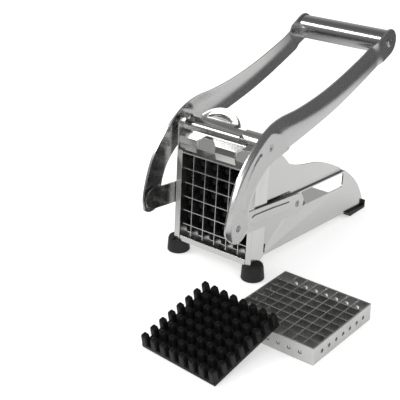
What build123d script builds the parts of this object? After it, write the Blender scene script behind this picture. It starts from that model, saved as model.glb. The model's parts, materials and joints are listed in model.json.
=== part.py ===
"""French fry cutter: a two-arm lever draws a pusher along a tilted chamber into a 36-cell blade cassette.

A spare 64-cell cassette and its pusher lie in front. Millimetres. The machine is drawn level, x across it,
y along the chamber to the rear and z up from the chamber floor, then turned so that its front stands higher.
"""

import os
from math import atan2, cos, degrees, radians, sin

from build123d import *

# Sheet and fits
sheet = 1.2
arm_sheet = 1.5
turning_fit = 0.08
slot_fit = 0.05

# Pivots in (y, z), drawn level
pivot = (4.9, 117.4)
crank = (-33.0, 57.8)
pin = (56.6, 52.9)
grip = (185.0, 177.3)
machine_tilt = 4.0

# Layers across the machine, from the middle out
groove_in = 36.6
plate_in = 39.5
plate_out = plate_in + sheet
web_in = 41.3
web_out = web_in + sheet
link_in = 43.1
link_out = link_in + arm_sheet
arm_in = 46.2
arm_out = arm_in + arm_sheet

# Chamber and front
front_face = -5.2
jog_start = 11.2
jog_end = jog_start + sheet
floor_low = 15.8
floor_top = floor_low + sheet
floor_rear = 181.0
groove = (59.7, 67.7)
pin_radius = 3.0
screw_radius = 2.0
rivet_rise = 0.4
grip_radius = 11.0
lip_top = 96.5
boss = 10.1

# Cutting sets: cells a side, cell pitch
fitted_cells, fitted_pitch = 6, 13.0
spare_cells, spare_pitch = 8, 9.75
blade = 0.6
frame_wall = 1.2
cassette_middle = 54.0

east = (1, 0, 0)


def area(*curves):
    """Face inside a closed chain of curves."""
    return Face(Wire([edge for curve in curves for edge in curve.edges()]))


def polygon(*points):
    return make_face(Polyline(*points, close=True))


def slab(face, start, end):
    """A face drawn in (y, z), given thickness from x = start to x = end."""
    return extrude(Plane.YZ.offset(start) * face, amount=end - start, dir=east)


def rod(centre, radius, start, end):
    return slab(Pos(*centre) * Circle(radius), start, end)


def ring(centre, inner, outer, start, end):
    return rod(centre, outer, start, end) - rod(centre, inner, start, end)


def block(*limits):
    """Box between a lower and an upper limit along each axis."""
    size = [high - low for low, high in limits]
    return Pos(*[low for low, high in limits]) * Box(*size, align=(Align.MIN, Align.MIN, Align.MIN))


def band(line, thickness=sheet):
    """Face of bent sheet on the left of an open line."""
    return make_face(offset(line, amount=thickness, side=Side.LEFT, closed=True).edges())


def other_side(part):
    return mirror(part, about=Plane.YZ)


def direction(degrees):
    return (cos(radians(degrees)), sin(radians(degrees)))


def inset(curve, distance, stations=14):
    """Curve run parallel to another on its right-hand side."""
    places = [step / stations for step in range(stations + 1)]
    points = [
        (
            curve.position_at(place).X + curve.tangent_at(place).Y * distance,
            curve.position_at(place).Y - curve.tangent_at(place).X * distance,
        )
        for place in places
    ]
    return Spline(*points, tangents=[curve.tangent_at(0), curve.tangent_at(1)])


# ---- Body ----

def side_outline():
    """Front leg, chamber, humped top edge and the round boss at the lever axle."""
    rear = Spline(
        (181, 20), (168, 40.5), (143, 60.2), (116, 73.6), (88, 82.8), (60, 87.3), (36, 96.8), (19, 112)
    )
    return area(
        Polyline((front_face, pivot[1]), (front_face, 12), (-3, 9.5), (4, 9.5), (11, floor_low), (177, floor_low)),
        ThreePointArc((177, floor_low), (179.9, 17.0), (181, 20)),
        rear,
        Line((19, 112), (14.6, 114.6)),
        ThreePointArc((14.6, 114.6), (pivot[0], pivot[1] + boss), (front_face, pivot[1])),
    )


def hood(reach):
    """Edge of the side plate turned in round the front of the boss, its free edge cut on a slant."""
    low, high = pivot[1] + 0.1, pivot[1] + boss + 1
    rolled = slab(side_outline(), reach, web_out) - rod(pivot, boss - sheet, reach, web_out)
    rolled &= block((0, 60), (-10, pivot[0]), (low, high))
    keep = polygon((groove_in, low), (reach, low + 7), (reach, high), (web_out, high), (web_out, low))
    return rolled & extrude(Plane.XZ * keep, amount=20, both=True)


def side_plate(hood_reach):
    """Sheet stepped outwards at the front, with a pressed guide groove and a window for the carriage pin."""
    outline = side_outline()
    rear_part = block((plate_in, plate_out), (jog_start, 200), (0, 140))
    front_part = block((web_in, web_out), (-10, jog_end), (0, 140))
    step_part = block((plate_in, web_out), (jog_start, jog_end), (0, 140))
    plate = slab(outline, plate_in, web_out) & (rear_part + front_part + step_part)
    plate += block((groove_in + 0.1, web_out), (front_face, front_face + sheet), (12, lip_top))
    plate += hood(hood_reach)

    low, high = groove
    groove_front = 16.0
    pressed = slab(outline, groove_in, plate_out) & block((30, 50), (groove_front, 200), (low, high))
    opening = block(
        (groove_in + sheet, plate_out + 1), (groove_front + sheet, 200), (low + sheet, high - sheet)
    )
    plate = plate - block((plate_in - 1, plate_out + 1), (groove_front, 200), (low, high)) + (pressed - opening)

    window = Pos(93.5, 52.6) * RectangleRounded(91, 14.2, 3)
    plate -= slab(window, plate_in - 1, plate_out + 1)
    plate -= block((plate_in - 1, web_out + 1), (13.2, 17.2), (18.5, 26.5))
    return plate - rod(pivot, pin_radius, plate_in - 1, web_out + 1)


def chamber_floor():
    """Tray between the side plates, with low flanges and a lip turned down at the rear."""
    reach = plate_in
    tray = block((-reach, reach), (12.7, floor_rear), (floor_low, floor_top))
    for side in (-1, 1):
        inner, outer = sorted((side * (reach - sheet), side * reach))
        tray += block((inner, outer), (20, 170), (floor_low, 23))
    tray += block((-28, 28), (floor_rear - sheet, floor_rear), (floor_low - 3, floor_top))
    return tray


def front_sill():
    sill = block((-web_in, web_in), (front_face + sheet, 11), (11.8, 13.0))
    return sill + block((-36.3, 36.3), (front_face, front_face + sheet), (11.8, 17))


def front_bridge():
    """Strip that ties the side plates under the lever axle, turned down in two blocks between the tongues."""
    top, rear, front = 109.8, 20.0, 5.5
    blocks_top, blocks_low = 111.6, 102.5
    strip = slab(band(Polyline((rear, 103), (rear, top), (front, top))), -plate_in, plate_in)
    strip += block((-web_in, web_in), (front, jog_start), (top - sheet, top))
    apron = band(Polyline((front + 2, top), (front, top), (-0.2, blocks_top), (-0.9, blocks_top), (-5.1, blocks_low)))
    middle = polygon(
        (-21.7, 100), (-2.1, 100), (-2.1, 108.3), (-6.5, blocks_top), (-6.5, 113), (-17.4, 113),
        (-17.4, blocks_top), (-21.7, 108.3)
    )
    right = polygon((19.8, 100), (web_in, 100), (web_in, 113), (25.4, 113), (25.4, blocks_top), (19.8, 107.8))
    return strip + (slab(apron, -web_in, web_in) & extrude(Plane.XZ * (middle + right), amount=20, both=True))


def pivot_axle():
    """Lever axle, flush with the arms."""
    return rod(pivot, pin_radius, -arm_out, arm_out)


def pivot_bush():
    return ring(pivot, pin_radius, 4.6, web_out, arm_in - 0.3)


# ---- Cutting sets, drawn lying flat with the cells along z ----

def cassette(cells, pitch, side, depth, tab, opening):
    """Frame with one opening at each blade end, and two combs of blades that cross half and half."""
    inside = side - 2 * frame_wall
    frame = Box(side, side, depth) - Box(inside, inside, depth + 1)
    places = [pitch * (number - cells / 2) for number in range(1, cells)]
    middle = side / 2 - frame_wall / 2
    for place in places:
        for side_sign in (-1, 1):
            frame -= Pos(place, side_sign * middle, 0) * Rot(0, 0, 90) * opening
            frame -= Pos(side_sign * middle, place, 0) * opening

    height = depth - 3
    bar = Box(inside, blade, height) + Box(side - 0.4, blade, tab)
    notch = Pos(0, 0, height / 4) * Box(blade + 2 * slot_fit, 3, height / 2 + 2 * slot_fit)
    for place in places:
        bar -= Pos(place, 0, 0) * notch
    along = [Pos(0, place, 0) * bar for place in places]
    across = [Pos(place, 0, 0) * Rot(0, 0, 90) * Rot(180, 0, 0) * bar for place in places]
    return frame, along, across


def finger_block(cells, pitch, width, length, tip):
    """Square fingers in rows, standing on z = 0, with bevelled tips."""
    finger = Pos(0, 0, length / 2) * Box(width, width, length)
    finger = chamfer(finger.faces().sort_by(Axis.Z)[-1].edges(), length=tip)
    places = [pitch * (number - (cells - 1) / 2) for number in range(cells)]
    return Part() + [Pos(x, y, 0) * finger for x in places for y in places]


def fitted_set():
    """The 36-cell cassette standing across the front of the chamber."""
    opening = Box(3, blade + 4 * slot_fit, 8.2)
    frame, along, across = cassette(fitted_cells, fitted_pitch, 82.0, 14.5, 8.0, opening)
    stand = Pos(0, 3.35, cassette_middle) * Rot(90, 0, 0)
    return stand * frame, [stand * bar for bar in across], [stand * bar for bar in along]


def spare_set():
    """The 64-cell cassette lying on its face."""
    opening = Rot(0, 90, 0) * extrude(RegularPolygon(1.25, 8), amount=1.5, both=True)
    side, depth = 82.0, 14.5
    frame, along, across = cassette(spare_cells, spare_pitch, side, depth, 2.0, opening)
    lay = Pos(111.9, -34.4, depth / 2)
    return lay * frame, [lay * bar for bar in along], [lay * bar for bar in across]


# ---- Carriage and pushers ----

def rail_notches(start, end):
    """Clearance for the pressed grooves on both sides."""
    low, high = groove[0] - 0.4, groove[1] + 0.4
    return [block((36.2, 60), (start, end), (low, high)), block((-60, -36.2), (start, end), (low, high))]


def carriage():
    """Push plate and open box that slide in the chamber."""
    reach, low, rear = 37.6, 17.3, 86.0
    plate_front = 16.5
    plate_rear = plate_front + sheet
    body = block((-37.9, 37.9), (plate_front, plate_rear), (18.5, 92))
    for cut in rail_notches(plate_front - 1, plate_rear + 1):
        body -= cut
    body += block((-reach, reach), (plate_front, rear), (low, low + sheet))
    wall = polygon(
        (plate_rear, low), (rear, low), (rear, 36), (72, 58.8), (plate_rear, 58.8)
    )
    body += slab(wall, reach - sheet, reach)
    body += slab(wall, -reach, sheet - reach)
    body -= rod(pin, pin_radius, -60, 60)
    for x in (-19.5, 19.5):
        for z in (34.5, 73.5):
            body -= Pos(x, plate_front, z) * Rot(90, 0, 0) * Cylinder(1.6, 6)
    return body


def carriage_pin():
    """Pin through the carriage wall, stopping short of the link."""
    return rod(pin, pin_radius, 35.4, 42.8) + ring(pin, pin_radius, 5.5, 35.4, 36.4)


def fitted_pusher():
    front, back = 13.0, 16.5
    base = block((-37.5, 37.5), (front, back), (17.6, 91))
    for cut in rail_notches(front - 1, back + 1):
        base -= cut
    fingers = finger_block(fitted_cells, fitted_pitch, 7.6, 11.0, 1.6)
    pusher = base + Pos(0, front, cassette_middle) * Rot(90, 0, 0) * fingers
    for x in (-19.5, 19.5):
        for z in (34.5, 73.5):
            pusher -= Pos(x, back, z) * Rot(90, 0, 0) * Cylinder(1.2, 12)
    return pusher


def pusher_screw():
    """Pan-head screw driven from behind, drawn pointing to -y from its head."""
    shank = Pos(0, -2.9, 0) * Rot(90, 0, 0) * Cylinder(1.2, 5.8)
    head = Pos(0, 0.9, 0) * Rot(90, 0, 0) * Cylinder(2.6, 1.8)
    return shank + chamfer(head.edges().group_by(Axis.Y)[-1], length=0.7)


def spare_pusher():
    """The 64-finger pusher, leaning on the spare cassette's nearest corner."""
    side, plate = 74.0, 3.2
    base = Pos(-side / 2, side / 2, plate / 2) * Box(side, side, plate)
    fingers = finger_block(spare_cells, spare_pitch, 5.75, 10.8, 1.2)
    pusher = base + Pos(-side / 2, side / 2, plate) * fingers
    return Pos(113.6, -140.6, 0) * Rot(0, 0, -3.5) * Rot(13.4, 0, 0) * pusher


# ---- Lever ----

end_radius = 12.5
lobe_radius = 13.0
facets = (21.0, 168.0)
bevel = (3.0, 3.0)
upper_facet = (3.2, 12.0)
lower_facet = (2.2, 9.5)


def arm_top():
    """Crescent front and long top edge of an arm, from the lower pivot up to the grip."""
    return Spline(
        (-46, crank[1]), (-43.5, 74), (-36.5, 94), (-24, 111.5), (-10, 124.8), (4, 133.8), (20, 138.7),
        (42, 140.9), (64, 144.5), (86, 149.6), (108, 156.3), (130, 164.2), (152, 173.2), (178.75, 188.3),
        tangents=[(0, 1), direction(29.6)],
    )


def arm_bottom():
    return Spline(
        (190.22, 165.94), (165, 154.5), (137, 142.5), (106, 130.6), (76, 121.4), (46, 113.4), (24, 108),
        (8, 103.6), (-6, 93.5), (-15, 82.5), (-19.8, 71), (-21.2, 63.3),
    )


def arm_outline():
    top, bottom = arm_top(), arm_bottom()
    return area(
        top,
        ThreePointArc(top @ 1, (grip[0] + end_radius, grip[1]), bottom @ 0),
        bottom,
        ThreePointArc(bottom @ 1, (crank[0], crank[1] - lobe_radius), top @ 0),
    )


def slanted(body, slant):
    """Body with its outer edge along a curve cut back by (inward, across)."""
    edge = body.edges().filter_by(GeomType.BSPLINE).sort_by(Axis.X)[-1]
    side = body.faces().sort_by(Axis.X)[-1]
    return chamfer(edge, length=slant[1], length2=slant[0], reference=side)


def below_top(slant, wider=0.0, low=20.0):
    """Thick body under the arm's top edge, or under a parallel to it that lies further out."""
    curve = inset(arm_top(), -wider) if wider else arm_top()
    first, last = curve @ 0, curve @ 1
    far = last + (curve % 1) * 30
    face = area(
        Line((first.X, low), first), curve, Line(last, far), Polyline(far, (far.X, low), (first.X, low))
    )
    share = 1 + wider / slant[1]
    return slanted(slab(face, 30, arm_out), (slant[0] * share, slant[1] * share))


def above_bottom(slant, wider=0.0, front=-70.0, high=260.0):
    """Thick body over the arm's lower edge, in the same way."""
    curve = inset(arm_bottom(), -wider) if wider else arm_bottom()
    first, last = curve @ 0, curve @ 1
    far = first - (curve % 0) * 30
    face = area(Line(far, first), curve, Polyline(last, (front, last.Y), (front, high), (far.X, high), far))
    share = 1 + wider / slant[1]
    return slanted(slab(face, 30, arm_out), (slant[0] * share, slant[1] * share))


def between(start, end):
    return block((0, 60), (start, end), (0, 240))


def arm():
    """Pressed arm: bevelled crescent, then two long facets that meet in a ridge, and a flat end disc."""
    start, end = facets
    inwards, margin = Pos(-arm_sheet, 0, 0), 1.0
    whole = slab(arm_outline(), 30, arm_out)
    crescent = whole & below_top(bevel) & between(-60, start)
    ridged = whole & below_top(upper_facet) & above_bottom(lower_facet) & between(start, end)
    crescent -= inwards * below_top(bevel, margin) & between(-61, start - arm_sheet)
    hollow = inwards * (below_top(upper_facet, margin) & above_bottom(lower_facet, margin))
    ridged -= hollow & between(start, end - arm_sheet)
    part = crescent + ridged + (slab(arm_outline(), arm_in, arm_out) & between(end, 240))
    part &= block((arm_out - arm_sheet - upper_facet[0], 60), (-60, 240), (0, 240))
    part += crescent_rib()
    for centre, radius in ((pivot, pin_radius + turning_fit), (crank, pin_radius), (grip, screw_radius)):
        part -= rod(centre, radius, 30, arm_out + 5)
    return part


def crescent_rib():
    """Pressed rib that follows the crescent."""
    front_edge = Spline((-10, 115.8), (-20, 104.5), (-27.5, 90), (-29, 71))
    rear_edge = Spline((-25.6, 70.4), (-21.5, 81.2), (-16.5, 90.6), (-11, 99.5), (-6.2, 110.5))
    face = area(
        front_edge,
        ThreePointArc((-29, 71), (-27.2, 69.2), (-25.6, 70.4)),
        rear_edge,
        ThreePointArc((-6.2, 110.5), (-6.6, 114.8), (-10, 115.8)),
    )
    return slab(face, arm_out, arm_out + 0.8)


def grip_tube():
    return ring(grip, grip_radius - sheet, grip_radius, -arm_in, arm_in)


def grip_plug():
    return ring(grip, screw_radius, grip_radius - sheet - slot_fit, 38, arm_in)


def grip_screw():
    """Slotted dome-head screw through the arm into the plug."""
    head = rod(grip, 4.2, arm_out, arm_out + 1.8)
    head = chamfer(head.edges().sort_by(Axis.X)[-1], length=1.1)
    slot = block((arm_out + 1.0, arm_out + 3), (grip[0] - 0.6, grip[0] + 0.6), (grip[1] - 6, grip[1] + 6))
    return rod(grip, screw_radius, 38.5, arm_out) + (head - slot)


def crank_rivet():
    """Lower pivot of the arm, riveted nearly flush, with a collar that spaces the link."""
    collar = rod(crank, 5.5, link_out + 0.3, arm_in)
    return rod(crank, pin_radius, link_in + 0.1, arm_out + rivet_rise) + collar


def link():
    """Strap between lever and carriage, with a pressed rib along its middle."""
    rise, run = pin[1] - crank[1], pin[0] - crank[0]
    length = (rise**2 + run**2) ** 0.5
    middle = ((pin[0] + crank[0]) / 2, (pin[1] + crank[1]) / 2)
    lie = Pos(*middle) * Rot(0, 0, degrees(atan2(rise, run)))
    strap = slab(lie * SlotCenterToCenter(length, 19), link_in, link_out)
    rib = slab(lie * SlotCenterToCenter(length - 42, 9.6), link_out, link_out + 0.8)
    strap += chamfer(rib.faces().sort_by(Axis.X)[-1].edges(), length=0.5)
    strap -= rod(crank, pin_radius + turning_fit, link_in - 1, link_out + 1)
    return strap - rod(pin, pin_radius, link_in - 1, link_out + 1)


def rear_rivet():
    return rod(pin, pin_radius, link_in, link_out + rivet_rise)


# ---- Lock plate ----

def finger_tab():
    """D-shaped tab, its rim turned back, with an arched slot; drawn with its base along x."""
    rim_depth = 5.5
    outline = area(
        Polyline((-19.3, 4.5), (-15.5, 0), (15.5, 0), (19.3, 4.5)),
        ThreePointArc((19.3, 4.5), (0, 16.3), (-19.3, 4.5)),
    )
    inside = offset(outline, amount=-sheet) + Rectangle(30, 4)
    slot = area(
        Polyline((-13.4, 5.4), (-12.6, 4.0), (12.6, 4.0), (13.4, 5.4)),
        ThreePointArc((13.4, 5.4), (0, 10.0), (-13.4, 5.4)),
    )
    rim = extrude(outline, amount=-rim_depth) - extrude(inside, amount=-rim_depth)
    return rim + extrude(outline - slot, amount=-sheet)


def lock_plate():
    """Plate rolled round the axle: two tongues hold the cassette down and a slotted tab is pressed to free it."""
    left, rolled_end, right = -40.8, 17.5, 26.0
    roll = ring(pivot, pin_radius + turning_fit, pin_radius + turning_fit + sheet, left, rolled_end)
    open_part = (-30.0, 8.5)
    roll -= block(open_part, (pivot[0], 12), (100, 120.3)) + block(open_part, (0, 12), (100, 115.6))

    lip, fold = 97.0, 109.0
    front = FilletPolyline((0.62, 117.0), (0.5, 114.5), (-5.0, fold), (-5.4, 103.5), (-3.4, lip), radius=1.2)
    tongues = polygon(
        (left, lip - 1), (-22.3, lip - 1), (-22.3, fold), (-15, 113.8), (-8.8, 113.8), (-1.5, fold),
        (-1.5, lip - 1), (19.2, lip - 1), (19.2, fold), (right, 113.8), (right, 118), (left, 118)
    )
    sheet_front = slab(band(front), left, right) & extrude(Plane.XZ * tongues, amount=20, both=True)

    tab_base = (9.2, 123.4)
    back = slab(band(Polyline((10.1, 123.76), tab_base, (pivot[0], 121.68))), -39.0, 20.4)
    tab = Pos(-11.3, *tab_base) * Rot(65, 0, 0) * finger_tab()
    return roll + sheet_front + back + tab


# ---- Feet, drawn as they stand ----

def level(part):
    """A piece of the machine turned to stand on its feet."""
    return Rot(-machine_tilt, 0, 0) * part


def front_foot(cut_by):
    """Rubber bell, slit for the leg of the side plate."""
    profile = Plane.XZ * area(
        Polyline((0, 0), (9.6, 0), (10.25, 0.65), (9.3, 11.2), (8.6, 13.2), (6.8, 14.0), (0, 14.0), (0, 0)),
    )
    bell = Pos(41.5, 0.5, 0) * revolve(profile, Axis.Z)
    bell -= level(block((20, web_in), (-20, 20), (11.8, 30)))
    for part in cut_by:
        bell -= level(part)
    return bell


def rear_foot(cut_by):
    """Rubber pad under the rear corner, turned up behind it."""
    profile = polygon(
        (150, floor_low), (158, 9), (176, 9), (182.5, 13), (182.5, 20.5), (180.4, 20.5), (180.4, floor_low)
    )
    pad = slab(profile, 30, 43.5)
    for part in cut_by:
        pad -= part
    pad = level(pad)
    return pad & block((0, 60), (100, 240), (0, 60))


# ---- Assembly ----

def build():
    right_plate, left_plate = side_plate(23.0), other_side(side_plate(groove_in + 0.1))
    frame, blades_x, blades_z = fitted_set()
    right_arm, right_link = arm(), link()
    screws = [Pos(x, 16.5 + sheet, z) * pusher_screw() for x in (-19.5, 19.5) for z in (34.5, 73.5)]
    sill, tray = front_sill(), chamber_floor()
    machine = {
        "side_plate_right": right_plate,
        "side_plate_left": left_plate,
        "chamber_floor": tray,
        "front_sill": sill,
        "front_bridge": front_bridge(),
        "pivot_axle": pivot_axle(),
        "pivot_bushes": [pivot_bush(), other_side(pivot_bush())],
        "cassette_frame": frame,
        "blades_vertical": blades_x,
        "blades_horizontal": blades_z,
        "lock_plate": lock_plate(),
        "arm_right": right_arm,
        "arm_left": other_side(right_arm),
        "grip_tube": grip_tube(),
        "grip_plugs": [grip_plug(), other_side(grip_plug())],
        "grip_screws": [grip_screw(), other_side(grip_screw())],
        "link_pivot_rivets": [crank_rivet(), other_side(crank_rivet())],
        "link_right": right_link,
        "link_left": other_side(right_link),
        "rear_rivet_right": rear_rivet(),
        "rear_rivet_left": other_side(rear_rivet()),
        "carriage": carriage(),
        "carriage_pins": [carriage_pin(), other_side(carriage_pin())],
        "pusher_36": fitted_pusher(),
        "pusher_screws": screws,
    }
    nodes = {}
    for name, part in machine.items():
        pieces = part if isinstance(part, list) else [part]
        nodes[name] = [level(piece) for piece in pieces]

    foot = front_foot([right_plate, sill])
    pad = rear_foot([right_plate, tray])
    spare_frame, spare_long, spare_cross = spare_set()
    nodes["front_foot_right"] = [foot]
    nodes["front_foot_left"] = [other_side(foot)]
    nodes["rear_foot_right"] = [pad]
    nodes["rear_foot_left"] = [other_side(pad)]
    nodes["spare_cassette_frame"] = [spare_frame]
    nodes["spare_blades_long"] = spare_long
    nodes["spare_blades_cross"] = spare_cross
    nodes["spare_pusher"] = [spare_pusher()]
    return nodes


def main():
    nodes = build()
    boxes = [piece.bounding_box() for pieces in nodes.values() for piece in pieces]
    low = [min(getattr(box.min, axis) for box in boxes) for axis in "XYZ"]
    high = [max(getattr(box.max, axis) for box in boxes) for axis in "XYZ"]
    shift = (-(low[0] + high[0]) / 2, -(low[1] + high[1]) / 2, -low[2])

    os.makedirs("parts", exist_ok=True)
    for name, pieces in nodes.items():
        placed = [Pos(*shift) * solid for piece in pieces for solid in piece.solids()]
        export_step(Compound(children=placed), f"parts/{name}.step")

    print("size", [round(high[axis] - low[axis], 2) for axis in range(3)])
    print("shift", [round(value, 3) for value in shift])
    for label, point in (("pivot", pivot), ("crank", crank), ("pin", pin), ("grip", grip)):
        place = Pos(*shift) * level(Pos(0, *point))
        print(label, [round(value, 3) for value in place.position])


main()
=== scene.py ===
import json
import math
import bmesh
import bpy
from mathutils import Matrix, Vector


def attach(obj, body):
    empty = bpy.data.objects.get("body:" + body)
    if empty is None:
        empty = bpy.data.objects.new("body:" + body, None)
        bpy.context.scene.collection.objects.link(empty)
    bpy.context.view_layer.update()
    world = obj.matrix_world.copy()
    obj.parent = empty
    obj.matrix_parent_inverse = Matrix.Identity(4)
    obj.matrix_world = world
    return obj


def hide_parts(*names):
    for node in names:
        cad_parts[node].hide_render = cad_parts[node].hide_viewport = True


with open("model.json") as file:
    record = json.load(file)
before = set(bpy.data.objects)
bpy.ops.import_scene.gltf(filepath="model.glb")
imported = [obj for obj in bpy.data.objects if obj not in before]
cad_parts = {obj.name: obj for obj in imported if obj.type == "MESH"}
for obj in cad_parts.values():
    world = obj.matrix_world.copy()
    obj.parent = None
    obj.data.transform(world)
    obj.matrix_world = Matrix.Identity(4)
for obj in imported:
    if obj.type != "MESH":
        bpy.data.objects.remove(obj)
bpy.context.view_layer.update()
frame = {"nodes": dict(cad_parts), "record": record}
nodes = frame["nodes"]
bodyOfNode = {node: body for body, names in frame["record"]["behaviour"]["bodies"].items() for node in names}
slotOfNode = {part["node"]: part["material_slot"] for part in frame["record"]["subparts"]}
print("frame loaded")

# The machine: x across it, y along the chamber, z up from its floor, in mm; its feet tilt it a little
machine = {"origin": (-50.575, -32.93, 0.0), "tilt": math.radians(4.0)}
pivot, crank, pin, grip = (4.9, 117.4), (-33.0, 57.8), (56.6, 52.9), (185.0, 177.3)  # their centres as (y, z)
armOut, linkOut, sheet = 47.7, 44.6, 1.5  # outer faces as x, and the thickness of both
metresPerMm = 0.001
toOrigin = Matrix.Scale(metresPerMm, 4) @ Matrix.Translation(machine["origin"])
machineTurn = toOrigin @ Matrix.Rotation(-machine["tilt"], 4, "X")


def mm(value):
    return value * metresPerMm


def smooth(low, high, value):  # 0 below low, 1 above high, an even curve between
    share = min(1.0, max(0.0, (value - low) / (high - low)))
    return share * share * (3 - 2 * share)


# Camera

cameraView = {
    "target": (-124.4, 37.1, 13.5), "azimuth": 39.5, "elevation": 25.2, "distance": 921.0, "lens": 85.5,
}


def addCamera(view):
    azimuth, elevation = math.radians(view["azimuth"]), math.radians(view["elevation"])
    back = Vector((
        math.sin(azimuth) * math.cos(elevation),
        -math.cos(azimuth) * math.cos(elevation),
        math.sin(elevation),
    ))
    data = bpy.data.cameras.new("camera")
    data.lens = view["lens"]
    data.sensor_width = 36.0
    data.clip_end = 20.0
    camera = bpy.data.objects.new("camera", data)
    camera.location = (Vector(view["target"]) + back * view["distance"]) * metresPerMm
    camera.rotation_euler = back.to_track_quat("Z", "Y").to_euler()
    bpy.context.scene.collection.objects.link(camera)
    bpy.context.scene.camera = camera


addCamera(cameraView)

# Materials


def linear(hexColour):  # sRGB hex to linear, with alpha
    channels = [int(hexColour[i:i + 2], 16) / 255 for i in (1, 3, 5)]
    return [c / 12.92 if c <= 0.04045 else ((c + 0.055) / 1.055) ** 2.4 for c in channels] + [1.0]


def addNode(tree, kind, values=None, **settings):  # values: socket name or index to a constant or an output
    node = tree.nodes.new(kind)
    for name, value in settings.items():
        setattr(node, name, value)
    for name, value in (values or {}).items():
        socket = node.inputs[name]
        if isinstance(value, bpy.types.NodeSocket):
            tree.links.new(value, socket)
        else:
            socket.default_value = value
    return node


def newMaterial(name):
    material = bpy.data.materials.new(name)
    material.use_nodes = True
    material.node_tree.nodes.clear()
    return material, material.node_tree


# Colours for the most convex places: wear, and a painted highlight on edges and tips
rubbedAndSheenSteel = {"colour": "#ececea", "from": 0.52, "to": 0.62}
rubbedAndSheenBlack = {"colour": "#4a4a49", "from": 0.52, "to": 0.6}


def wornAndSheenTint(tree, noise, look, rubbedAndSheen):  # dark to light by a noise, paler where the shape stands out: wear, and a painted highlight on edges and tips
    tint = addNode(tree, "ShaderNodeMix", {
        0: noise, 6: linear(look["dark"]), 7: linear(look["light"]),
    }, data_type="RGBA")
    ridgeWearAndSheen = addNode(tree, "ShaderNodeMapRange", {
        "Value": addNode(tree, "ShaderNodeNewGeometry").outputs["Pointiness"],
        "From Min": rubbedAndSheen["from"], "From Max": rubbedAndSheen["to"], "To Min": 0.0, "To Max": look["wearAndSheen"],
    })
    return addNode(tree, "ShaderNodeMix", {
        0: ridgeWearAndSheen.outputs[0], 6: tint.outputs[2], 7: linear(rubbedAndSheen["colour"]),
    }, data_type="RGBA").outputs[2]


def metalSheet(name, look):  # brush lines along one direction, cloudiness, and brighter edges, worn and with a painted highlight
    material, tree = newMaterial(name)
    place = addNode(tree, "ShaderNodeTexCoord").outputs["Object"]
    turned = addNode(tree, "ShaderNodeMapping", {
        "Vector": place, "Rotation": look["turn"], "Scale": look["stretch"],
    })
    lines = addNode(tree, "ShaderNodeTexNoise", {
        "Vector": turned.outputs[0], "Scale": look["lines"], "Detail": 4.0, "Roughness": 0.6,
    })
    clouds = addNode(tree, "ShaderNodeTexNoise", {"Vector": place, "Scale": look["clouds"], "Detail": 3.0})
    bothNoises = addNode(tree, "ShaderNodeMath", {
        0: lines.outputs["Fac"], 1: clouds.outputs["Fac"],
    }, operation="ADD")
    roughness = addNode(tree, "ShaderNodeMapRange", {  # two noises add up to between 0.7 and 1.3
        "Value": bothNoises.outputs[0], "From Min": 0.7, "From Max": 1.3,
        "To Min": look["roughness"][0], "To Max": look["roughness"][1],
    })
    bump = addNode(tree, "ShaderNodeBump", {
        "Height": lines.outputs["Fac"], "Strength": look["bump"], "Distance": mm(0.02),
    })
    tint = wornAndSheenTint(tree, clouds.outputs["Fac"], look, rubbedAndSheenSteel)
    shader = addNode(tree, "ShaderNodeBsdfPrincipled", {
        "Base Color": tint, "Roughness": roughness.outputs[0], "Normal": bump.outputs[0], "Metallic": 1.0,
    })
    addNode(tree, "ShaderNodeOutputMaterial", {"Surface": shader.outputs[0]})
    return material


def mouldedBlack(name, look):  # moulded rubber or plastic with a fine grain and greyer edges, rubbed and with a painted highlight
    material, tree = newMaterial(name)
    place = addNode(tree, "ShaderNodeTexCoord").outputs["Object"]
    grain = addNode(tree, "ShaderNodeTexNoise", {"Vector": place, "Scale": look["grain"], "Detail": 3.0})
    dust = addNode(tree, "ShaderNodeTexNoise", {"Vector": place, "Scale": look["dust"], "Detail": 5.0})
    bump = addNode(tree, "ShaderNodeBump", {
        "Height": grain.outputs["Fac"], "Strength": look["bump"], "Distance": mm(0.05),
    })
    roughness = addNode(tree, "ShaderNodeMapRange", {
        "Value": dust.outputs["Fac"], "To Min": look["roughness"][0], "To Max": look["roughness"][1],
    })
    tint = wornAndSheenTint(tree, dust.outputs["Fac"], look, rubbedAndSheenBlack)
    shader = addNode(tree, "ShaderNodeBsdfPrincipled", {
        "Base Color": tint, "Roughness": roughness.outputs[0], "Normal": bump.outputs[0],
        "Specular IOR Level": look["shine"],
    })
    addNode(tree, "ShaderNodeOutputMaterial", {"Surface": shader.outputs[0]})
    return material


# Noise scales count per metre: 1600 puts lines 0.6 mm apart, coarser than real brushing, so that they show
evenGrain = {"turn": (0, 0, 0), "stretch": (1.0, 1.0, 1.0)}
# Brushed 304 stainless: clear reflections with faint long streaks along the chamber
bodySteel = metalSheet("brushedStainless", {
    "turn": (-machine["tilt"], 0, 0), "stretch": (1.0, 0.04, 1.0), "lines": 1600.0, "clouds": 18.0,
    "roughness": (0.16, 0.23), "dark": "#c6c6c4", "light": "#d0d0ce", "bump": 0.05, "wearAndSheen": 0.5,
})
# Satin-polished pressed stainless: softer reflections, which its bends gather into light and dark bands
armSteel = metalSheet("satinPolishedStainless", {
    "turn": (-machine["tilt"], 0, 0), "stretch": (1.0, 0.08, 1.0), "lines": 1500.0, "clouds": 14.0,
    "roughness": (0.2, 0.32), "dark": "#b9b9b8", "light": "#cecece", "bump": 0.12, "wearAndSheen": 0.4,
})
# Cassette frames: mill-finished sheet, duller and greyer, a little stained from cutting
millSteel = metalSheet("millFinishStainless", evenGrain | {
    "lines": 1300.0, "clouds": 60.0,
    "roughness": (0.26, 0.48), "dark": "#b4b4b2", "light": "#e6e6e4", "bump": 0.2, "wearAndSheen": 0.0,
})
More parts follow.
